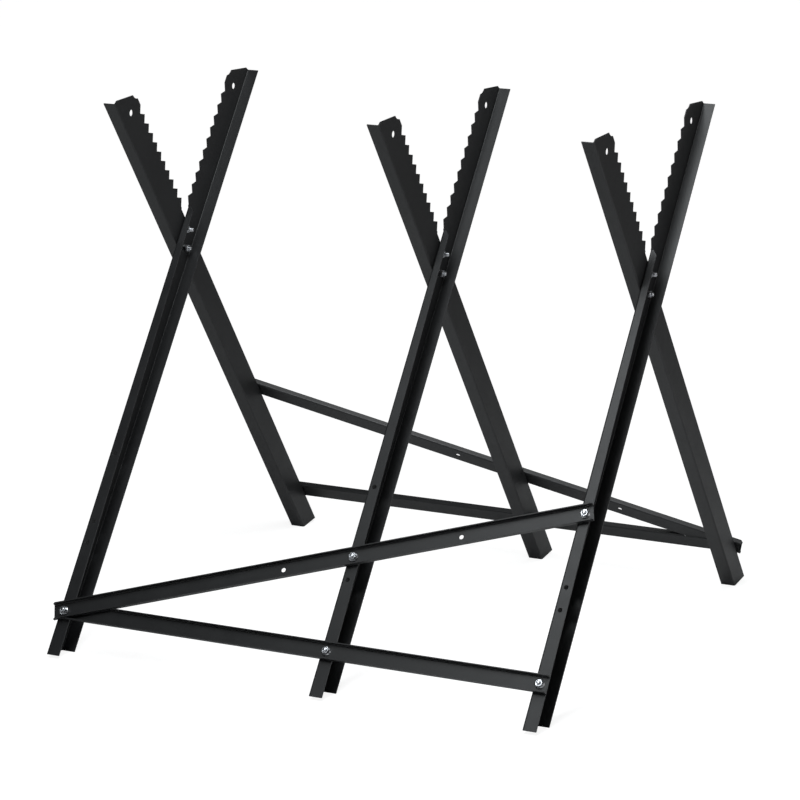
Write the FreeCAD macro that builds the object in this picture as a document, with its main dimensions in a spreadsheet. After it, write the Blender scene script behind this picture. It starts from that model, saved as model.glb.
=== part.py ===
import FreeCAD, Part
import Sketcher
import math
import os

# Log sawhorse: three crossed pairs of pressed-steel legs, tied by four brace channels.
# X runs along the row, Y from front to back, Z up. The origin is on the floor at the centre.

os.makedirs("parts", exist_ok=True)
doc = FreeCAD.newDocument("sawhorse")
V = FreeCAD.Vector
TEETH = 11

DIMENSIONS = [
    ("sheet", 1.5, "sheet thickness of legs and braces"),
    ("bend_out", 2.5, "outside bend radius"),
    ("lean", 36.4, "lean of each leg from the vertical, degrees"),
    ("row_half", 387.3, "half distance between the outer crossings"),
    ("row_mid", 52.0, "place of the middle crossing along the row"),
    ("foot_in", 383.1, "distance of the under flange from the centre, on the floor"),
    ("web_gap", 0.05, "half gap between the back-to-back webs"),
    ("web_foot", 38.6, "outside depth of the leg channel at the foot"),
    ("web_head", 45.0, "outside depth of the leg channel where the upper flange ends"),
    ("upper_foot", 21.5, "outside width of the upper flange at the foot"),
    ("upper_head", 11.2, "outside width of the upper flange where it ends"),
    ("under_foot", 22.8, "outside width of the under flange at the foot"),
    ("under_head", 19.4, "outside width of the under flange at the leg's top"),
    ("foot_waste", 40.0, "channel below the foot point, cut away level"),
    ("leg_top", 988.2, "end of the under flange along the leg"),
    ("leg_lift", 5.5, "height of the upper flange's foot above the floor"),
    ("flange_top", 722.0, "end of the upper flange along the leg"),
    ("flange_slope", 8.0, "drop of the upper flange's sloped end"),
    ("flange_flat", 5.0, "square part of the upper flange's end"),
    ("tooth_out", 54.4, "tooth tips, measured from the under flange"),
    ("tooth_waste", 3.0, "metal of the blank beyond the tooth tips, cut away"),
    ("tooth_start", 0.5, "start of the tooth cut below the end of the upper flange"),
    ("tooth_in", 45.4, "tooth roots, measured from the under flange"),
    ("tooth_pitch", 20.0, "tooth pitch along the leg"),
    ("tooth_first", 925.5, "first tooth root along the leg"),
    ("tooth_drop", 9.9, "root to tip along the leg"),
    ("cap_square", 8.2, "square part of the leg's top end"),
    ("cap_slope", 31.0, "fall of the leg's top cut"),
    ("cap_radius", 16.0, "round corner at the leg's top"),
    ("cap_hole", 10.0, "hole in the leg's top end"),
    ("cap_hole_in", 27.2, "top hole, from the under flange"),
    ("cap_hole_up", 944.6, "top hole along the leg"),
    ("pivot_in", 32.0, "pivot hole, from the under flange"),
    ("lock_radius", 30.0, "distance from pivot bolt to lock bolt"),
    ("fold_half", 34.5, "half of the fold angle"),
    ("bore", 6.1, "pivot hole and lock slot width"),
    ("clear_hole", 7.0, "holes for the brace bolts"),
    ("hole_in", 9.0, "brace bolts, from the back of the leg's web"),
    ("hole_low", 48.0, "lowest brace hole along the leg"),
    ("hole_top", 305.0, "highest brace hole along the leg"),
    ("brace_web", 26.2, "outside depth of the brace channel"),
    ("brace_flange", 8.8, "outside width of the brace flanges"),
    ("brace_end", 12.5, "end hole to end of brace"),
    ("brace_apex", 16.0, "end hole to end of upper brace, where it lies over the lower one"),
    ("brace_chamfer", 3.5, "cut corners of the brace flanges"),
    ("notch_clear", 0.5, "gap between the cut top flange and the upper brace"),
    ("notch_short", 6.8, "bottom flange cut away under the upper brace"),
    ("notch_edge", 0.2, "part of the bend left on a cut-away flange"),
    ("rest_point", 89.0, "where the upper brace leaves the lower one"),
    ("spare_far", 0.771, "spare brace hole, part of the hole distance"),
    ("thread", 6.0, "bolt diameter"),
    ("hex_width", 10.0, "across flats of heads and nuts"),
    ("hex_fall", 1.6, "radius lost per height on the turned corners of heads and nuts"),
    ("hex_inset", 0.15, "turned circle on top, inside the flats"),
    ("bolt_point", 0.6, "chamfer on the end of a bolt"),
    ("head_height", 4.0, "bolt head height"),
    ("nut_height", 5.0, "crossing nut height"),
    ("flange_nut", 6.0, "flange nut height"),
    ("flange_wide", 14.2, "flange nut's flange diameter"),
    ("flange_thick", 1.1, "flange nut's flange edge"),
    ("brace_bolt", 12.0, "brace bolt length"),
    ("lock_bolt", 12.0, "lock bolt length"),
    ("pivot_bolt", 16.0, "pivot bolt length"),
    ("clamp_gap", 0.02, "gap under the nuts of the tilted brace"),
    ("overcut", 5.0, "reach of the cutting outlines past the metal"),
]

sheet = doc.addObject("Spreadsheet::Sheet", "Dims")
for row, (name, value, note) in enumerate(DIMENSIONS, start=1):
    sheet.set(f"A{row}", name)
    sheet.set(f"B{row}", str(value))
    sheet.setAlias(f"B{row}", name)
    sheet.set(f"C{row}", note)
doc.recompute()


class Dim:
    """A number together with the spreadsheet expression that gives it."""

    def __init__(self, value, text):
        self.value = value
        self.text = text

    @staticmethod
    def of(other):
        return other if isinstance(other, Dim) else Dim(float(other), f"({other})")

    def __add__(self, other):
        other = Dim.of(other)
        return Dim(self.value + other.value, f"({self.text} + {other.text})")

    def __sub__(self, other):
        other = Dim.of(other)
        return Dim(self.value - other.value, f"({self.text} - {other.text})")

    def __mul__(self, other):
        other = Dim.of(other)
        return Dim(self.value * other.value, f"({self.text} * {other.text})")

    def __truediv__(self, other):
        other = Dim.of(other)
        return Dim(self.value / other.value, f"({self.text} / {other.text})")

    def __neg__(self):
        return Dim(-self.value, f"(0 - {self.text})")

    def __radd__(self, other):
        return Dim.of(other) + self

    def __rsub__(self, other):
        return Dim.of(other) - self

    def __rmul__(self, other):
        return Dim.of(other) * self


def sine(angle):
    angle = Dim.of(angle)
    return Dim(math.sin(math.radians(angle.value)), f"sin({angle.text} * 1deg)")


def cosine(angle):
    angle = Dim.of(angle)
    return Dim(math.cos(math.radians(angle.value)), f"cos({angle.text} * 1deg)")


D = {name: Dim(value, f"Dims.{name}") for name, value, note in DIMENSIONS}
LEAN_SIN = sine(D["lean"])
LEAN_COS = cosine(D["lean"])
LEAN = D["lean"].value
BEND_IN = D["bend_out"] - D["sheet"]
OVERCUT = D["overcut"]


def place(obj, prop, size):
    """Bind one property of an object to the spreadsheet."""
    obj.setExpression(prop, Dim.of(size).text)


def sketch_on(body, role, offset, name):
    """New sketch on one of the body's own planes, moved along its normal."""
    sketch = body.newObject("Sketcher::SketchObject", name)
    plane = [item for item in body.Origin.OriginFeatures if item.Role == role][0]
    sketch.AttachmentSupport = [(plane, "")]
    sketch.MapMode = "FlatFace"
    offset = Dim.of(offset)
    sketch.AttachmentOffset = FreeCAD.Placement(V(0, 0, offset.value), FreeCAD.Rotation())
    sketch.setExpression("AttachmentOffset.Base.z", offset.text)
    return sketch


def pin(sketch, geo, end, point):
    """Hold one end of a curve at a spreadsheet-driven position."""
    for kind, size in (("DistanceX", point[0]), ("DistanceY", point[1])):
        size = Dim.of(size)
        index = sketch.addConstraint(Sketcher.Constraint(kind, -1, 1, geo, end, size.value))
        sketch.setExpression(f"Constraints[{index}]", size.text)


def outline(sketch, points):
    """Closed outline; a third item (radius, turn) makes the next edge an arc."""
    count = len(points)
    flat = [V(Dim.of(item[0]).value, Dim.of(item[1]).value, 0) for item in points]
    ids = []
    starts = []
    for i, item in enumerate(points):
        first, last = flat[i], flat[(i + 1) % count]
        if len(item) == 2:
            ids.append(sketch.addGeometry(Part.LineSegment(first, last), False))
            starts.append((1, 2))
            continue
        radius, turn = item[2]
        chord = last - first
        half = chord.Length / 2
        rise = math.sqrt(max(radius.value ** 2 - half ** 2, 0.0))
        side = V(-chord.y, chord.x, 0).normalize()
        centre = (first + last) * 0.5 + side * rise * turn
        angles = [math.atan2(end.y - centre.y, end.x - centre.x) for end in (first, last)]
        if turn < 0:
            angles.reverse()
        circle = Part.Circle(centre, V(0, 0, 1), radius.value)
        arc = Part.ArcOfCircle(circle, angles[0], angles[1])
        ids.append(sketch.addGeometry(arc, False))
        starts.append((1, 2) if turn > 0 else (2, 1))
    for i in range(count):
        j = (i + 1) % count
        sketch.addConstraint(Sketcher.Constraint("Coincident", ids[i], starts[i][1], ids[j], starts[j][0]))
    for i, item in enumerate(points):
        pin(sketch, ids[i], starts[i][0], item)
        if len(item) == 3:
            index = sketch.addConstraint(Sketcher.Constraint("Radius", ids[i], item[2][0].value))
            sketch.setExpression(f"Constraints[{index}]", item[2][0].text)


def circles(sketch, centres, diameter):
    """Round holes of one diameter."""
    for point in centres:
        centre = V(Dim.of(point[0]).value, Dim.of(point[1]).value, 0)
        circle = Part.Circle(centre, V(0, 0, 1), diameter.value / 2)
        geo = sketch.addGeometry(circle, False)
        pin(sketch, geo, 3, point)
        index = sketch.addConstraint(Sketcher.Constraint("Diameter", geo, diameter.value))
        sketch.setExpression(f"Constraints[{index}]", diameter.text)


def pad(body, sketch, length, name):
    feature = body.newObject("PartDesign::Pad", name)
    feature.Profile = sketch
    place(feature, "Length", length)
    sketch.Visibility = False
    return feature


def loft(body, first, last, name):
    """Straight-sided solid between two sections of the same outline."""
    feature = body.newObject("PartDesign::AdditiveLoft", name)
    feature.Profile = first
    feature.Sections = [last]
    feature.Ruled = True
    first.Visibility = False
    last.Visibility = False
    return feature


def pocket(body, sketch, length, name):
    feature = body.newObject("PartDesign::Pocket", name)
    feature.Profile = sketch
    place(feature, "Length", length)
    sketch.Visibility = False
    return feature


def half_turn(turned):
    """Rotation that takes a piece of the front side to the rear side."""
    return FreeCAD.Rotation(V(0, 0, 1), 180 if turned else 0)


def leg_point(along, inward):
    """Leg coordinates as the sketch coordinates of the leg's side view."""
    return (-Dim.of(inward), Dim.of(along))


def level(inward, height):
    """Place along the leg where a line at this depth reaches a height."""
    return (Dim.of(height) - Dim.of(inward) * LEAN_SIN) / LEAN_COS


def taper(first, last, length, along):
    """Size that changes evenly along the leg."""
    return D[first] + (D[last] - D[first]) * along / D[length]


def web_depth(along):
    return taper("web_foot", "web_head", "flange_top", along)


# The truss face is the plane of the legs' upper flanges, which spread away from the under flanges.
SPREAD = (D["web_head"] - D["web_foot"]) / D["flange_top"]
FACE_LEAN = Dim(LEAN - math.degrees(math.atan(SPREAD.value)),
                f"({D['lean'].text} - atan({SPREAD.text}) / 1deg)")
FACE_SIN = sine(FACE_LEAN)
FACE_COS = cosine(FACE_LEAN)

PIVOT_ALONG = (D["pivot_in"] * LEAN_COS + D["foot_in"]) / LEAN_SIN
PIVOT_HEIGHT = PIVOT_ALONG * LEAN_COS + D["pivot_in"] * LEAN_SIN
MID_PART = (D["row_half"] + D["row_mid"]) / (2 * D["row_half"])
HOLE_RISE = D["hole_top"] - D["hole_low"]
HOLE_HIGH_MID = D["hole_low"] + HOLE_RISE * MID_PART
HOLE_LOW_MID = D["hole_top"] - HOLE_RISE * MID_PART


def slot_outline():
    """Curved slot for the lock bolt, centred on the pivot."""
    half = D["bore"] / 2
    start = D["lean"]
    end = D["lean"] - D["fold_half"]

    def at(radius, angle):
        along = PIVOT_ALONG - radius * cosine(angle)
        return leg_point(along, D["pivot_in"] - radius * sine(angle))

    outer = D["lock_radius"] + half
    inner = D["lock_radius"] - half
    a, b, c, d = at(outer, start), at(outer, end), at(inner, end), at(inner, start)
    return [
        (a[0], a[1], (outer, -1)),
        (b[0], b[1], (half, -1)),
        (c[0], c[1], (inner, 1)),
        (d[0], d[1], (half, -1)),
    ]


def channel_section(body, along, name):
    """Section of the leg below the teeth: web and two flanges."""
    thick, bend, deep = D["sheet"], D["bend_out"], web_depth(along)
    upper = taper("upper_foot", "upper_head", "flange_top", along)
    under = taper("under_foot", "under_head", "leg_top", along)
    section = sketch_on(body, "XY_Plane", along, name)
    outline(section, [
        (under, 0), (bend, 0, (bend, 1)), (0, -bend), (0, bend - deep, (bend, 1)),
        (bend, -deep), (upper, -deep), (upper, thick - deep), (bend, thick - deep, (BEND_IN, -1)),
        (thick, bend - deep), (thick, -bend, (BEND_IN, -1)), (bend, -thick), (under, -thick),
    ])
    return section


def blank_section(body, along, name):
    """Section of the leg beside the teeth, before they are cut: web and under flange."""
    thick, bend, edge = D["sheet"], D["bend_out"], D["tooth_out"] + D["tooth_waste"]
    under = taper("under_foot", "under_head", "leg_top", along)
    section = sketch_on(body, "XY_Plane", along, name)
    outline(section, [
        (under, 0), (bend, 0, (bend, 1)), (0, -bend), (0, -edge),
        (thick, -edge), (thick, -bend, (BEND_IN, -1)), (bend, -thick), (under, -thick),
    ])
    return section


def foot_outline():
    """The under flange stands on the floor, and the upper flange ends above it."""
    low = -D["foot_waste"] - OVERCUT
    web_start = D["bend_out"]
    web_end = D["web_foot"] - D["bend_out"]
    beyond = D["web_foot"] + OVERCUT
    return [
        leg_point(low, -OVERCUT), leg_point(level(-OVERCUT, 0), -OVERCUT),
        leg_point(level(web_start, 0), web_start), leg_point(level(web_end, D["leg_lift"]), web_end),
        leg_point(level(beyond, D["leg_lift"]), beyond), leg_point(low, beyond),
    ]


def tooth_outline():
    """Teeth of the log cradle, then the leg's rounded and sloping top."""
    far = D["tooth_out"] + D["tooth_waste"] + OVERCUT
    start = D["flange_top"] - D["tooth_start"]
    points = [leg_point(start, far), leg_point(start, D["web_head"])]
    for i in range(TEETH - 1, -1, -1):
        root = D["tooth_first"] - D["tooth_pitch"] * i
        points.append(leg_point(root, D["tooth_in"]))
        points.append(leg_point(root + D["tooth_pitch"] - D["tooth_drop"], D["tooth_out"]))
    run = D["tooth_out"] - D["cap_square"]
    slope = math.atan2(D["cap_slope"].value, run.value)
    tangent = D["cap_radius"] * math.tan(math.pi / 4 - slope / 2)
    corner = D["leg_top"] - D["cap_slope"]
    points.append(leg_point(corner - tangent, D["tooth_out"]) + ((D["cap_radius"], 1),))
    points.append(leg_point(corner + tangent * math.sin(slope), D["tooth_out"] - tangent * math.cos(slope)))
    points.append(leg_point(D["leg_top"], D["cap_square"]))
    points.append(leg_point(D["leg_top"] + OVERCUT, D["cap_square"]))
    points.append(leg_point(D["leg_top"] + OVERCUT, far))
    return points


def make_leg(label, row, turned):
    """One leg: tapered channel below, flat toothed web above, all from one sheet."""
    body = doc.addObject("PartDesign::Body", label)
    body.Label = label
    thick, wide, deep = D["sheet"], D["under_foot"], D["web_head"]

    foot_end = channel_section(body, -D["foot_waste"], f"{label}_section_foot")
    flange_end = channel_section(body, D["flange_top"], f"{label}_section_head")
    loft(body, foot_end, flange_end, f"{label}_channel")
    blank_end = blank_section(body, D["flange_top"], f"{label}_blank_start")
    top_end = blank_section(body, D["leg_top"], f"{label}_blank_end")
    loft(body, blank_end, top_end, f"{label}_upper")

    for name, points in (("foot", foot_outline()), ("teeth", tooth_outline())):
        edge = sketch_on(body, "YZ_Plane", wide + OVERCUT, f"{label}_{name}_outline")
        outline(edge, points)
        pocket(body, edge, wide + 2 * OVERCUT, f"{label}_{name}")

    # Cuts through the upper flange only: they stop half way across the channel.
    corner = sketch_on(body, "XZ_Plane", deep + OVERCUT, f"{label}_corner_outline")
    slope = D["flange_slope"] / (D["upper_head"] - D["flange_flat"])
    beyond = D["upper_head"] + OVERCUT
    outline(corner, [
        (D["flange_flat"], D["flange_top"]), (beyond, D["flange_top"] + OVERCUT),
        (beyond, D["flange_top"] - (beyond - D["flange_flat"]) * slope),
    ])
    pocket(body, corner, deep / 2, f"{label}_corner")

    brace_holes = sketch_on(body, "XZ_Plane", deep + OVERCUT, f"{label}_brace_hole_centres")
    rows = [D["hole_low"], HOLE_LOW_MID, HOLE_HIGH_MID, D["hole_top"]]
    circles(brace_holes, [(D["hole_in"], item) for item in rows], D["clear_hole"])
    pocket(body, brace_holes, deep / 2, f"{label}_brace_holes")

    web_holes = sketch_on(body, "YZ_Plane", thick + OVERCUT, f"{label}_web_hole_centres")
    circles(web_holes, [leg_point(PIVOT_ALONG, D["pivot_in"])], D["bore"])
    circles(web_holes, [leg_point(D["cap_hole_up"], D["cap_hole_in"])], D["cap_hole"])
    pocket(body, web_holes, thick + 2 * OVERCUT, f"{label}_web_holes")

    slot = sketch_on(body, "YZ_Plane", thick + OVERCUT, f"{label}_slot_outline")
    outline(slot, slot_outline())
    pocket(body, slot, thick + 2 * OVERCUT, f"{label}_slot")

    side = -1 if turned else 1
    rotation = half_turn(turned).multiply(FreeCAD.Rotation(V(1, 0, 0), -LEAN))
    body.Placement = FreeCAD.Placement(V(0, 0, 0), rotation)
    place(body, "Placement.Base.x", row + D["web_gap"] * side)
    place(body, "Placement.Base.y", -D["foot_in"] * side)
    return body


BRACE_RUN = 2 * D["row_half"]
BRACE_ANGLE = math.degrees(math.atan2(HOLE_RISE.value, BRACE_RUN.value))
BRACE_SPAN = math.hypot(HOLE_RISE.value, BRACE_RUN.value)
UPPER_SPAN = Dim(BRACE_SPAN,
                 f"sqrt({BRACE_RUN.text} * {BRACE_RUN.text} + {HOLE_RISE.text} * {HOLE_RISE.text})")
REST_SLOPE = D["sheet"] / (UPPER_SPAN + D["brace_end"] - D["rest_point"])


def upper_rise(distance):
    """Height of the upper brace's back above the leg's face."""
    return D["sheet"] + (D["rest_point"] - Dim.of(distance)) * REST_SLOPE


def make_brace(label, span, holes, start, notched):
    """One brace channel; its back lies on the legs, its flanges point outward.

    A notched brace has its flanges cut down to the web where the upper brace lies over it; the top
    one is cut on a slope, along the upper brace's edge.
    """
    body = doc.addObject("PartDesign::Body", label)
    body.Label = label
    thick, bend, tall = D["sheet"], D["bend_out"], D["brace_flange"]
    deep, end = D["brace_web"], D["brace_end"]
    side = deep / 2

    section = sketch_on(body, "YZ_Plane", -start, f"{label}_section")
    outline(section, [
        (side, tall), (side, bend, (bend, -1)), (side - bend, 0), (bend - side, 0, (bend, -1)),
        (-side, bend), (-side, tall), (thick - side, tall), (thick - side, bend, (BEND_IN, 1)),
        (bend - side, thick), (side - bend, thick, (BEND_IN, 1)),
        (side - thick, bend), (side - thick, tall),
    ])
    pad(body, section, span + start + end, f"{label}_channel")

    ends = sketch_on(body, "XZ_Plane", side + OVERCUT, f"{label}_end_corners")
    cut = D["brace_chamfer"]
    top = tall + OVERCUT
    below = tall - cut - OVERCUT
    left = -start - OVERCUT
    right = span + end + OVERCUT
    outline(ends, [(left, below), (left + cut + 2 * OVERCUT, top), (left, top)])
    outline(ends, [(right, below), (right, top), (right - cut - 2 * OVERCUT, top)])
    pocket(body, ends, deep + 2 * OVERCUT, f"{label}_ends")

    centres = sketch_on(body, "XY_Plane", thick + OVERCUT, f"{label}_hole_centres")
    circles(centres, [(item, 0) for item in holes], D["clear_hole"])
    pocket(body, centres, thick + 2 * OVERCUT, f"{label}_holes")

    if notched:
        notch = sketch_on(body, "XY_Plane", top, f"{label}_notch_outline")
        near = side - bend + D["notch_edge"]
        far = side + OVERCUT
        meet = (near * BRACE_RUN + side * UPPER_SPAN) / HOLE_RISE + D["notch_clear"]
        slope_end = meet + (far - near) * BRACE_RUN / HOLE_RISE
        outline(notch, [(left, near), (meet, near), (slope_end, far), (left, far)])
        outline(notch, [(left, -near), (left, -far), (D["notch_short"], -far), (D["notch_short"], -near)])
        pocket(body, notch, top - thick, f"{label}_notch")
    return body


def face_origin(row, along, turned):
    """Point on a leg's upper flange, at a brace hole."""
    side = -1 if turned else 1
    deep = web_depth(along)
    y = along * LEAN_SIN - deep * LEAN_COS - D["foot_in"]
    z = along * LEAN_COS + deep * LEAN_SIN
    return row + (D["hole_in"] + D["web_gap"]) * side, y * side, z


def set_on_face(obj, row, along, turned, turn=0.0, tilt=0.0, rise=0):
    """Put an object on the truss face, with its Z axis pointing outward."""
    x, y, z = face_origin(row, along, turned)
    rise = Dim.of(rise)
    side = -1 if turned else 1
    rotation = half_turn(turned).multiply(FreeCAD.Rotation(V(1, 0, 0), 90 - FACE_LEAN.value))
    rotation = rotation.multiply(FreeCAD.Rotation(V(0, 0, 1), turn))
    rotation = rotation.multiply(FreeCAD.Rotation(V(0, 1, 0), tilt))
    obj.Placement = FreeCAD.Placement(V(0, 0, 0), rotation)
    place(obj, "Placement.Base.x", x)
    place(obj, "Placement.Base.y", y - rise * FACE_COS * side)
    place(obj, "Placement.Base.z", z + rise * FACE_SIN)


def hexagon(label, height):
    """Hexagonal blank with its upper corners turned off."""
    prism = doc.addObject("Part::Prism", f"{label}_hex")
    prism.Polygon = 6
    place(prism, "Circumradius", D["hex_width"] / math.sqrt(3))
    place(prism, "Height", height)
    cone = doc.addObject("Part::Cone", f"{label}_turned")
    place(cone, "Radius1", D["hex_width"] / 2 + height * D["hex_fall"])
    place(cone, "Radius2", D["hex_width"] / 2 - D["hex_inset"])
    place(cone, "Height", height)
    common = doc.addObject("Part::Common", f"{label}_blank")
    common.Base = prism
    common.Tool = cone
    return common


def make_bolt(label, length):
    """Hexagon bolt: the head's bearing face is at zero and the shank points along +Z."""
    head = hexagon(f"{label}_head", D["head_height"])
    head.Placement = FreeCAD.Placement(V(0, 0, 0), FreeCAD.Rotation(V(1, 0, 0), 180))
    shank = doc.addObject("Part::Cylinder", f"{label}_shank")
    place(shank, "Radius", D["thread"] / 2)
    place(shank, "Height", length - D["bolt_point"])
    point = doc.addObject("Part::Cone", f"{label}_point")
    place(point, "Radius1", D["thread"] / 2)
    place(point, "Radius2", D["thread"] / 2 - D["bolt_point"])
    place(point, "Height", D["bolt_point"])
    place(point, "Placement.Base.z", length - D["bolt_point"])
    bolt = doc.addObject("Part::MultiFuse", label)
    bolt.Shapes = [head, shank, point]
    bolt.Refine = True
    bolt.Label = label
    return bolt


def make_nut(label, height, flanged):
    """Nut with its bearing face at zero; the flanged kind has a collar."""
    blank = hexagon(label, height)
    if flanged:
        collar = doc.addObject("Part::Cylinder", f"{label}_collar")
        place(collar, "Radius", D["flange_wide"] / 2)
        place(collar, "Height", D["flange_thick"])
        slope = doc.addObject("Part::Cone", f"{label}_collar_slope")
        place(slope, "Radius1", D["flange_wide"] / 2)
        place(slope, "Radius2", D["hex_width"] / 2)
        place(slope, "Height", D["flange_thick"])
        place(slope, "Placement.Base.z", D["flange_thick"])
        joined = doc.addObject("Part::MultiFuse", f"{label}_joined")
        joined.Shapes = [blank, collar, slope]
        joined.Refine = True
        blank = joined
    bore = doc.addObject("Part::Cylinder", f"{label}_bore")
    place(bore, "Radius", D["thread"] / 2)
    place(bore, "Height", height + 2 * OVERCUT)
    place(bore, "Placement.Base.z", -OVERCUT)
    nut = doc.addObject("Part::Cut", label)
    nut.Base = blank
    nut.Tool = bore
    nut.Label = label
    return nut


nodes = []
ROWS = [("left", -D["row_half"]), ("middle", D["row_mid"]), ("right", D["row_half"])]
for side_name, turned in (("front", False), ("rear", True)):
    for row_name, row in ROWS:
        nodes.append(make_leg(f"leg_{side_name}_{row_name}", row, turned))

# Braces. The rear pair is the front pair turned half round, so each apex is at the other end.
TILT = math.degrees(math.atan(REST_SLOPE.value))
for side_name, turned in (("front", False), ("rear", True)):
    apex = D["row_half"] if turned else -D["row_half"]
    part = 1 - MID_PART if turned else MID_PART
    far = 1 - D["spare_far"] if turned else D["spare_far"]
    lower_holes = [0, BRACE_RUN * part, BRACE_RUN]
    lower = make_brace(f"brace_{side_name}_lower", BRACE_RUN, lower_holes, D["brace_end"], True)
    set_on_face(lower, apex, D["hole_low"], turned)
    upper_holes = [0, UPPER_SPAN * part, UPPER_SPAN * (1 - part), UPPER_SPAN * far, UPPER_SPAN]
    upper = make_brace(f"brace_{side_name}_upper", UPPER_SPAN, upper_holes, D["brace_apex"], False)
    set_on_face(upper, apex, D["hole_low"], turned, BRACE_ANGLE, TILT, upper_rise(0))
    nodes += [lower, upper]

# Brace fasteners: heads inside the leg channels, flange nuts outside the braces.
HEAD_TURN = 12.0
NUT_TURN = 7.0
for side_name, turned in (("front", False), ("rear", True)):
    near, away = ("left", "right") if not turned else ("right", "left")
    rows = dict(ROWS)
    part = 1 - MID_PART if turned else MID_PART
    mid_hole = HOLE_LOW_MID if turned else HOLE_HIGH_MID
    top = D["sheet"] + D["clamp_gap"]
    places = [
        ("apex", rows[near], D["hole_low"], upper_rise(0) + top),
        ("lower_middle", rows["middle"], D["hole_low"], D["sheet"]),
        ("lower_end", rows[away], D["hole_low"], D["sheet"]),
        ("upper_middle", rows["middle"], mid_hole, upper_rise(UPPER_SPAN * part) + top),
        ("upper_end", rows[away], D["hole_top"], upper_rise(UPPER_SPAN) + top),
    ]
    for spot, row, along, rise in places:
        bolt = make_bolt(f"bolt_{side_name}_{spot}", D["brace_bolt"])
        set_on_face(bolt, row, along, turned, HEAD_TURN, 0.0, -D["sheet"])
        nut = make_nut(f"nut_{side_name}_{spot}", D["flange_nut"], True)
        set_on_face(nut, row, along, turned, NUT_TURN, 0.0, rise)
        nodes += [bolt, nut]

# Crossing fasteners: pivot bolt above, lock bolt below, nuts in the front leg's channel.
# The pivot nut is turned so that one flat faces the leg's upper flange.
PIVOT_NUT_TURN = 60 - LEAN
LOCK_NUT_TURN = 5.0
CROSSING = [
    ("pivot", 0, 0, D["pivot_bolt"], PIVOT_NUT_TURN),
    ("lock", D["lock_radius"], D["web_gap"], D["lock_bolt"], LOCK_NUT_TURN),
]
for row_name, row in ROWS:
    for kind, drop, slack, length, turn in CROSSING:
        reach = D["sheet"] + D["web_gap"]
        along_row = FreeCAD.Rotation(V(0, 1, 0), 90)
        turned_nut = along_row.multiply(FreeCAD.Rotation(V(0, 0, 1), turn))
        bolt = make_bolt(f"bolt_{kind}_{row_name}", length)
        bolt.Placement = FreeCAD.Placement(V(0, 0, 0), along_row)
        place(bolt, "Placement.Base.x", row - reach - D["web_gap"])
        place(bolt, "Placement.Base.z", PIVOT_HEIGHT - drop)
        nut = make_nut(f"nut_{kind}_{row_name}", D["nut_height"], False)
        nut.Placement = FreeCAD.Placement(V(0, 0, 0), turned_nut)
        place(nut, "Placement.Base.x", row + reach + slack)
        place(nut, "Placement.Base.z", PIVOT_HEIGHT - drop)
        nodes += [bolt, nut]

doc.recompute()

# Check and export.
problems = []
for obj in doc.Objects:
    if "Invalid" in obj.State or "Error" in obj.State:
        problems.append(f"{obj.Label}: {obj.State}")
for node in nodes:
    shape = node.Shape
    if shape.isNull() or not shape.isValid() or not shape.Solids:
        problems.append(f"{node.Label}: bad shape")
        continue
    shape.exportStep(f"parts/{node.Label}.step")
    box = shape.BoundBox
    print(f"{node.Label:26s} solids {len(shape.Solids)} volume {shape.Volume:10.1f} "
          f"x {box.XMin:8.2f} {box.XMax:8.2f} y {box.YMin:8.2f} {box.YMax:8.2f} "
          f"z {box.ZMin:7.2f} {box.ZMax:7.2f}")
print("nodes", len(nodes), "problems", problems)
print("pivot height", PIVOT_HEIGHT.value, "pivot along", PIVOT_ALONG.value)
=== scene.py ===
"""Folding log sawhorse: three crossed channel legs, four brace channels, zinc-plated M6 fasteners."""

import math

import bmesh
import bpy
import numpy as np
from mathutils import Matrix, Quaternion, Vector

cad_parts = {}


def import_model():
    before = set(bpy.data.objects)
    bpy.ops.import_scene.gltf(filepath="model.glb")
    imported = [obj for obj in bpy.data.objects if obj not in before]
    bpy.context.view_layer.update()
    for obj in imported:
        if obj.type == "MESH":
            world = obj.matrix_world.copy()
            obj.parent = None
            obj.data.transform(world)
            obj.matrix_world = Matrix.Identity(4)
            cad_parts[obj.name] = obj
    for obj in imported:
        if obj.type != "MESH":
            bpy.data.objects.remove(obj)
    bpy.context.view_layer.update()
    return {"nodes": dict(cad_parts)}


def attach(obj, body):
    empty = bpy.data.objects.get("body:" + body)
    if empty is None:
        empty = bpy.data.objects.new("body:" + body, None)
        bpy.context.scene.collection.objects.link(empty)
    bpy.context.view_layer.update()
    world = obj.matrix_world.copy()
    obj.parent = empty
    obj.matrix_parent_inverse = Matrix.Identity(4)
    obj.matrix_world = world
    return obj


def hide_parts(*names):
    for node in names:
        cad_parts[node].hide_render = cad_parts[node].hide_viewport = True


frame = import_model()

MM = 0.001
LEG_LEAN = math.radians(36.4)
WEB_FOOT, WEB_HEAD, WEB_RUN = 38.6, 45.0, 722.0  # the channel's depth at each end, and the length between
FACE_LEAN = LEG_LEAN - math.atan((WEB_HEAD - WEB_FOOT) / WEB_RUN)
FACE_OUT = Vector((0, -math.cos(FACE_LEAN), math.sin(FACE_LEAN)))  # out of the front legs' upper flange


# ---------------------------------------------------------------- camera
# A long lens, from the front, right of the middle and a little above.
camera = bpy.data.objects.new("camera", bpy.data.cameras.new("camera"))
bpy.context.scene.collection.objects.link(camera)
camera.location = (2.3137, -4.6593, 1.5911)
camera.rotation_euler = [math.radians(angle) for angle in (76.51, -0.06, 26.57)]
camera.data.lens = 158.74
camera.data.sensor_width = 36
camera.data.clip_end = 100
bpy.context.scene.camera = camera


# ---------------------------------------------------------------- materials
COAT_ROUGHNESS = 0.43


def new_material(name):
    """A material with an empty node tree, and its tree."""
    material = bpy.data.materials.new(name)
    material.use_nodes = True
    material.node_tree.nodes.clear()
    return material, material.node_tree


def feed(tree, socket, value):
    """Gives an input socket its value: a link from an output socket, or a number or colour."""
    if isinstance(value, bpy.types.NodeSocket):
        tree.links.new(value, socket)
    else:
        socket.default_value = value


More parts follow.
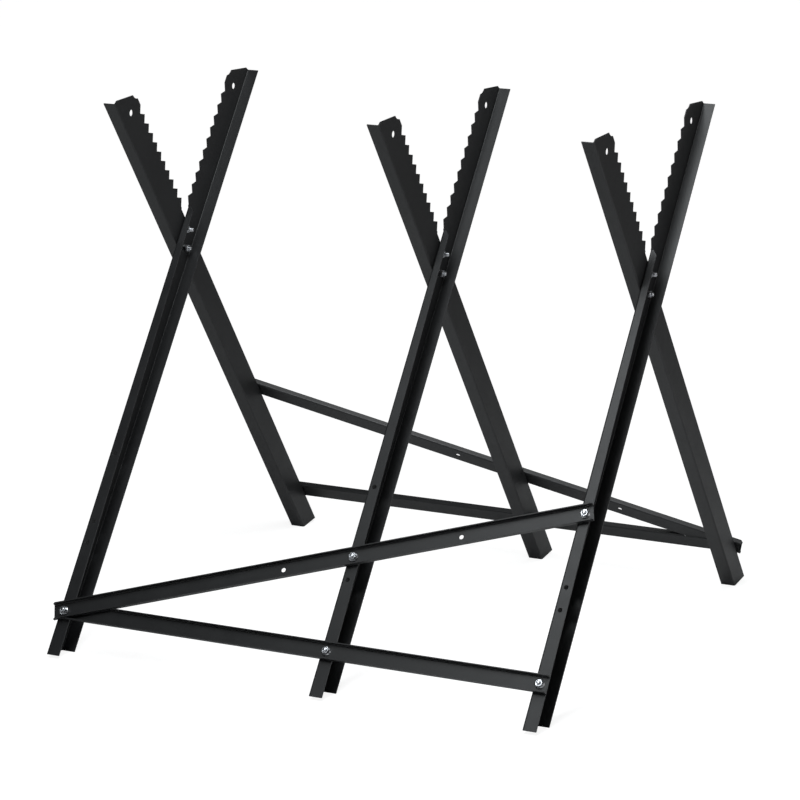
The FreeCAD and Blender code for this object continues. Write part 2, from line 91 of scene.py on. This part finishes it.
def add(tree, kind, **settings):
    """A shader node. A setting names one of its properties or inputs."""
    node = tree.nodes.new("ShaderNode" + kind)
    for name in [name for name in settings if hasattr(node, name)]:
        setattr(node, name, settings.pop(name))
    for name, value in settings.items():
        feed(tree, node.inputs[name.replace("_", " ")], value)
    return node


def noise(tree, where, scale, detail=3.0, rough=0.55):
    """Noise of one scale, from 0 to 1."""
    return add(tree, "TexNoise", Vector=where, Scale=scale, Detail=detail, Roughness=rough).outputs["Fac"]


def spread(tree, value, low, high, start=0.3, end=0.7):
    """A value's middle part, from start to end, moved onto low to high."""
    node = add(tree, "MapRange", Value=value)
    for socket, number in zip(node.inputs[1:5], (start, end, low, high)):
        socket.default_value = number
    return node.outputs[0]


def maths(tree, operation, a, b):
    node = add(tree, "Math", operation=operation)
    for socket, value in zip(node.inputs, (a, b)):
        feed(tree, socket, value)
    return node.outputs[0]


def mix_colour(tree, factor, a, b):
    """a where factor is 0, b where it is 1."""
    node = add(tree, "Mix", data_type="RGBA")
    for socket, value in zip((node.inputs[0], node.inputs[6], node.inputs[7]), (factor, a, b)):
        feed(tree, socket, value)
    return node.outputs[2]


def edge_mask(tree, radius, low, high):
    """1 along sharp outer and inner edges, 0 on the faces; and the rounded normal. The mask lightens the
    colour there as a painted highlight.
    """
    rounded = add(tree, "Bevel", samples=4, Radius=radius).outputs[0]
    plain = add(tree, "NewGeometry").outputs["Normal"]
    dot = add(tree, "VectorMath", operation="DOT_PRODUCT")
    feed(tree, dot.inputs[0], rounded)
    feed(tree, dot.inputs[1], plain)
    return spread(tree, dot.outputs["Value"], 1.0, 0.0, low, high), rounded


def end_in(tree, kind, shader):
    """Ends a tree in its output node, with its Surface from the shader."""
    add(tree, kind, Surface=shader.outputs[0])


def powder_coat():
    """Satin black powder coat: fine orange peel, a little unevenness, and a painted highlight that lightens
    the colour along the edges.
    """
    material, tree = new_material("powder_coat_black")
    where = add(tree, "TexCoord").outputs["Object"]
    edge, rounded = edge_mask(tree, 0.4 * MM, 0.80, 0.985)
    patch = spread(tree, noise(tree, where, 9.0, 4.0), 0.0, 1.0)
    body = mix_colour(tree, patch, (0.0075, 0.0078, 0.0086, 1), (0.0105, 0.0108, 0.0115, 1))
    fleck = spread(tree, noise(tree, where, 1400.0, 2.0), 0.0, 0.35, 0.62, 0.75)
    body = mix_colour(tree, fleck, body, (0.022, 0.022, 0.023, 1))
    # painted highlight: the colour is lightened along the sharp edges, standing in for light caught on the
    # rounded edges
    colour = mix_colour(tree, maths(tree, "MULTIPLY", edge, 0.6), body, (0.045, 0.046, 0.048, 1))
    sheen = spread(tree, noise(tree, where, 30.0, 5.0), -0.03, 0.04)
    grain = spread(tree, noise(tree, where, 500.0, 2.0), -0.025, 0.025)
    roughness = maths(tree, "ADD", maths(tree, "ADD", sheen, grain), COAT_ROUGHNESS)
    peel = maths(tree, "ADD", noise(tree, where, 650.0, 2.0, 0.45),
                 maths(tree, "MULTIPLY", noise(tree, where, 2600.0, 1.0), 0.25))
    bump = add(tree, "Bump", Strength=0.22, Distance=0.12 * MM, Height=peel, Normal=rounded).outputs[0]
    shader = add(tree, "BsdfPrincipled", Base_Color=colour, Roughness=roughness, IOR=1.5, Normal=bump)
    end_in(tree, "OutputMaterial", shader)
    return material


def zinc_plate():
    """Bright zinc plating: cloudy tone, fine grain, and a painted highlight that brightens the colour along
    the edges.
    """
    material, tree = new_material("zinc_plate")
    where = add(tree, "TexCoord").outputs["Object"]
    edge, rounded = edge_mask(tree, 0.15 * MM, 0.75, 0.98)
    cloud = spread(tree, noise(tree, where, 420.0, 4.0), 0.0, 1.0)
    tone = mix_colour(tree, cloud, (0.60, 0.62, 0.66, 1), (0.82, 0.83, 0.85, 1))
    # painted highlight: the colour is brightened along the sharp edges, standing in for light caught on the
    # rounded edges
    tone = mix_colour(tree, maths(tree, "MULTIPLY", edge, 0.5), tone, (0.93, 0.93, 0.94, 1))
    roughness = spread(tree, noise(tree, where, 900.0, 3.0), 0.20, 0.36)
    bump = add(tree, "Bump", Strength=0.3, Distance=0.03 * MM,
               Height=noise(tree, where, 3200.0, 3.0), Normal=rounded).outputs[0]
    shader = add(tree, "BsdfPrincipled", Base_Color=tone, Metallic=1.0, Roughness=roughness, Normal=bump)
    end_in(tree, "OutputMaterial", shader)
    return material


COAT = powder_coat()
ZINC = zinc_plate()
for name, node in frame["nodes"].items():
    finish = ZINC if name.startswith(("bolt", "nut")) else COAT
    for material_slot in node.material_slots:
        material_slot.material = finish


# ---------------------------------------------------------------- fasteners
HEX = 10.0  # across the flats
HEX_CORNER = 1.135  # an eased corner's distance from the middle, in flat distances; a sharp one's is 1.155
HEX_STEPS = 12  # points along each side of a hexagon
AROUND = 6 * HEX_STEPS
HEAD_HEIGHT = 4.0
FLANGE_NUT_HEIGHT, FLANGE_WIDE, FLANGE_THICK = 6.0, 14.2, 1.1
PLAIN_NUT_HEIGHT = 5.0
NUT_BORE = 6.0
SHORT_LENGTH, LONG_LENGTH = 12.0, 16.0  # under the head
THREAD = 5.96
PITCH = 1.0
THREAD_DEPTH = 0.55
THREAD_STEPS = 8  # rings in one pitch
THREAD_LEAD = 0.9  # length over which the thread runs out at the bolt's end
EASE = 0.07  # bevel on the nuts' edges
SHARP_ANGLE = math.radians(28)  # edges sharper than this are eased
SHADE_ANGLE = math.radians(35)  # edges sharper than this are shaded sharp
CHAMFER_SLOPE = math.tan(math.radians(30))


def hex_radius(angle):
    """Distance from the middle of a hexagon, one corner at angle 0, to its side, with the corner eased."""
    off = (angle + math.pi / 6) % (math.pi / 3) - math.pi / 6
    side = HEX / 2 / math.cos(math.pi / 6 - abs(off))
    return min(side, HEX / 2 * HEX_CORNER)


def turned(name, rings, closed):
    """A mesh from rings, each giving radius and height at an angle; closed joins the last to the first."""
    points = []
    for ring in rings:
        for step in range(AROUND):
            angle = 2 * math.pi * step / AROUND
            radius, height = ring(angle)
            points.append((radius * math.cos(angle) * MM, radius * math.sin(angle) * MM, height * MM))
    faces = []
    last = len(rings) if closed else len(rings) - 1
    for row in range(last):
        a, b = row * AROUND, (row + 1) % len(rings) * AROUND
        for step in range(AROUND):
            after = (step + 1) % AROUND
            faces.append((a + step, a + after, b + after, b + step))
    if not closed:
        faces.append(tuple(range(AROUND))[::-1])
        faces.append(tuple((len(rings) - 1) * AROUND + step for step in range(AROUND)))
    mesh = bpy.data.meshes.new(name)
    mesh.from_pydata(points, [], faces)
    return mesh


def finish_mesh(mesh, width):
    """Eases the mesh's sharp edges by width, if any, and shades it smooth between those that stay."""
    bm = bmesh.new()
    bm.from_mesh(mesh)
    bmesh.ops.recalc_face_normals(bm, faces=bm.faces)
    if width:
        sharp = [edge for edge in bm.edges
                 if edge.is_manifold and edge.calc_face_angle() > SHARP_ANGLE]
        bmesh.ops.bevel(bm, geom=sharp, offset=width * MM, segments=2, profile=0.5,
                        affect="EDGES", clamp_overlap=True)
    for face in bm.faces:
        face.smooth = True
    bm.to_mesh(mesh)
    bm.free()
    mesh.set_sharp_from_angle(angle=SHADE_ANGLE)
    mesh.materials.append(ZINC)
    return mesh


def flat(radius, height):
    """A round ring."""
    return lambda angle: (radius, height)


def hex_ring(height):
    """A hexagonal ring."""
    return lambda angle: (hex_radius(angle), height)


def chamfer_ring(top, inner, down=1):
    """Where a turned chamfer from radius inner at height top meets the hexagon; down is -1 to go up."""
    return lambda angle: (hex_radius(angle), top - down * max(hex_radius(angle) - inner, 0) * CHAMFER_SLOPE)


def nut_mesh(name, height, flanged):
    """A nut with its bearing face at zero. The flanged kind has a collar that slopes up to the hexagon."""
    bore = NUT_BORE / 2
    sink = 0.5  # countersink of the bore
    face = HEX / 2 - 0.15  # radius of the turned end faces
    rings = [flat(bore, sink), flat(bore + sink, 0.0)]
    if flanged:
        rim = FLANGE_WIDE / 2
        rise = FLANGE_THICK / (rim - HEX / 2)
        rings += [flat(rim - 0.25, 0.0), flat(rim, 0.2), flat(rim, FLANGE_THICK - 0.25),
                  flat(rim - 0.3, FLANGE_THICK + 0.3 * rise),
                  lambda angle: (hex_radius(angle), FLANGE_THICK + (rim - hex_radius(angle)) * rise)]
    else:
        rings += [flat(face, 0.0), chamfer_ring(0.0, face, -1)]
    rings += [chamfer_ring(height, face), flat(face, height),
              flat(bore + sink, height), flat(bore, height - sink)]
    return finish_mesh(turned(name, rings, True), EASE)


def ridge(height, length):
    """A ring of the thread: the root, with the helical ridge where it passes this height."""
    root = THREAD / 2 - THREAD_DEPTH
    ease = min(1.0, (length - height) / THREAD_LEAD)

    def ring(angle):
        turn = (height / PITCH - angle / (2 * math.pi)) % 1.0
        crest = min(1.0, max(0.0, 1.6 - abs(turn - 0.5) * 4.4))  # flat top, sloping flanks, flat root
        return root + THREAD_DEPTH * crest * ease, height
    return ring


def bolt_mesh(name, length):
    """A hexagon head below zero, dished on its end, and a threaded shank above it."""
    root = THREAD / 2 - THREAD_DEPTH
    top = -HEAD_HEIGHT
    face = HEX / 2 - 0.2  # radius of the turned end face
    washer = HEX / 2 - 0.1  # radius of the bearing face
    fillet = 0.2  # under the head
    rings = [flat(0.9, top + 0.35), flat(2.6, top + 0.3), flat(3.1, top),
             flat(face, top), chamfer_ring(top, face, -1),
             hex_ring(-0.35), flat(washer, -0.3), flat(washer, 0.0),
             flat(root + fillet, 0.0), flat(root, fillet)]
    rings += [ridge(fillet + index * PITCH / THREAD_STEPS, length)
              for index in range(int((length - 2 * fillet) * THREAD_STEPS / PITCH))]
    rings += [flat(root - 0.1, length - 0.12), flat(root - 0.35, length)]
    return finish_mesh(turned(name, rings, False), 0.0)


FLANGE_NUT = nut_mesh("flange_nut", FLANGE_NUT_HEIGHT, True)
PLAIN_NUT = nut_mesh("plain_nut", PLAIN_NUT_HEIGHT, False)
SHORT_BOLT = bolt_mesh("bolt_short", SHORT_LENGTH)
LONG_BOLT = bolt_mesh("bolt_long", LONG_LENGTH)


def seat(node_name, axis):
    """The CAD fastener's place and length: origin at its low end, z along axis, x to a hexagon corner."""
    vertices = frame["nodes"][node_name].data.vertices
    points = np.empty(len(vertices) * 3)
    vertices.foreach_get("co", points)
    points = points.reshape(-1, 3)
    axis = np.array(axis)
    across_x = abs(axis[0]) < 0.5
    side = np.cross((1.0, 0.0, 0.0) if across_x else (0.0, 1.0, 0.0), axis)
    side /= np.linalg.norm(side)
    third = np.cross(axis, side)
    along, across, up = points @ axis, points @ side, points @ third
    centre = [(values.min() + values.max()) / 2 for values in (across, up)]
    radius = np.hypot(across - centre[0], up - centre[1])
    beyond_hex = radius > HEX / math.sqrt(3) * MM * 1.005
    radius[beyond_hex] = 0
    corner = int(radius.argmax())
    angle = math.atan2(up[corner] - centre[1], across[corner] - centre[0])
    to_corner = math.cos(angle) * side + math.sin(angle) * third
    place = Matrix.Identity(4)
    for column, values in enumerate((to_corner, np.cross(axis, to_corner), axis)):
        for row in range(3):
            place[row][column] = values[row]
    place.translation = along.min() * axis + centre[0] * side + centre[1] * third
    return place, along.max() - along.min()


LONG_FROM = (HEAD_HEIGHT + (SHORT_LENGTH + LONG_LENGTH) / 2) * MM
for name in list(frame["nodes"]):
    kind, group = name.split("_")[:2]
    if kind not in ("bolt", "nut"):
        continue
    crossing = group in ("pivot", "lock")
    axis = Vector((1, 0, 0)) if crossing else FACE_OUT.copy()
    if group == "rear":
        axis.y = -axis.y
    place, long = seat(name, axis)
    if kind == "nut":
        mesh = PLAIN_NUT if crossing else FLANGE_NUT
    else:
        mesh = LONG_BOLT if long > LONG_FROM else SHORT_BOLT
        place.translation += axis * HEAD_HEIGHT * MM
    piece = bpy.data.objects.new(name + "_detail", mesh)
    bpy.context.scene.collection.objects.link(piece)
    piece.matrix_world = place
    body = "rear_frame" if group == "rear" else "lock_bolts" if group == "lock" else "front_frame"
    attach(piece, body)
    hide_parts(name)


# ---------------------------------------------------------------- stage
FLOOR_HALF = 30


def seen_apart(tree, kind, other, seen):
    """Ends a tree of the stage in one shader for the camera's rays and another for all other rays."""
    camera_ray = add(tree, "LightPath").outputs["Is Camera Ray"]
    mix = add(tree, "MixShader")
    for socket, value in zip(mix.inputs, (camera_ray, other.outputs[0], seen.outputs[0])):
        feed(tree, socket, value)
    end_in(tree, kind, mix)


def floor():
    """Plain floor. A glow whitens what the camera sees of it, and leaves the soft shadows near the feet."""
    material, tree = new_material("floor_white")
    where = add(tree, "TexCoord").outputs["Object"]
    shade = mix_colour(tree, noise(tree, where, 1.5), (0.30, 0.30, 0.30, 1), (0.32, 0.32, 0.32, 1))
    diffuse = add(tree, "BsdfDiffuse", Color=shade)
    distance = add(tree, "VectorMath", operation="LENGTH", Vector=where).outputs["Value"]
    glow = add(tree, "Emission", Strength=spread(tree, distance, 0.88, 1.0, 0.7, 2.0))
    seen = add(tree, "AddShader")
    for socket, shader in zip(seen.inputs, (diffuse, glow)):
        feed(tree, socket, shader.outputs[0])
    seen_apart(tree, "OutputMaterial", add(tree, "BsdfDiffuse", Color=(0.8, 0.8, 0.8, 1)), seen)
    mesh = bpy.data.meshes.new("floor")
    corners = [(x * FLOOR_HALF, y * FLOOR_HALF, 0) for x, y in ((-1, -1), (1, -1), (1, 1), (-1, 1))]
    mesh.from_pydata(corners, [], [(0, 1, 2, 3)])
    mesh.materials.append(material)
    plane = bpy.data.objects.new("floor", mesh)
    bpy.context.scene.collection.objects.link(plane)


def softbox(name, place, target, size, power, turn=0.0, tint=(1, 1, 1)):
    """A rectangular area light at place, aimed at target and turned about its aim."""
    light = bpy.data.lights.new(name, "AREA")
    light.shape = "RECTANGLE"
    light.size, light.size_y = size
    light.energy = power
    light.color = tint
    lamp = bpy.data.objects.new(name, light)
    lamp.visible_camera = False
    bpy.context.scene.collection.objects.link(lamp)
    lamp.location = place
    aim = (Vector(target) - Vector(place)).to_track_quat("-Z", "Y")
    lamp.rotation_euler = (aim @ Quaternion((0, 0, 1), math.radians(turn))).to_euler()


def world():
    """Nearly dark surroundings, white where the camera sees them."""
    scene_world = bpy.data.worlds.new("studio")
    bpy.context.scene.world = scene_world
    scene_world.use_nodes = True
    tree = scene_world.node_tree
    tree.nodes.clear()
    around = add(tree, "Background", Color=(1, 1, 1, 1), Strength=0.01)
    seen = add(tree, "Background", Color=(1, 1, 1, 1), Strength=1.0)
    seen_apart(tree, "OutputWorld", around, seen)


bpy.context.scene.view_settings.view_transform = "Standard"
floor()
world()
softbox("key_top_front", (0.05, -1.3, 2.2), (0.05, -1.3, 0.0), (0.7, 2.6), 52, -15, (0.94, 0.98, 1.0))
softbox("top", (0.2, 0.3, 2.2), (0.2, 0.3, 0.0), (1.4, 0.6), 6)
softbox("right", (2.4, 0.0, 0.8), (0.0, 0.0, 0.8), (2.4, 1.2), 14)
softbox("back", (0.5, 3.0, 1.0), (0.0, 0.0, 0.5), (3.0, 1.6), 2.8)
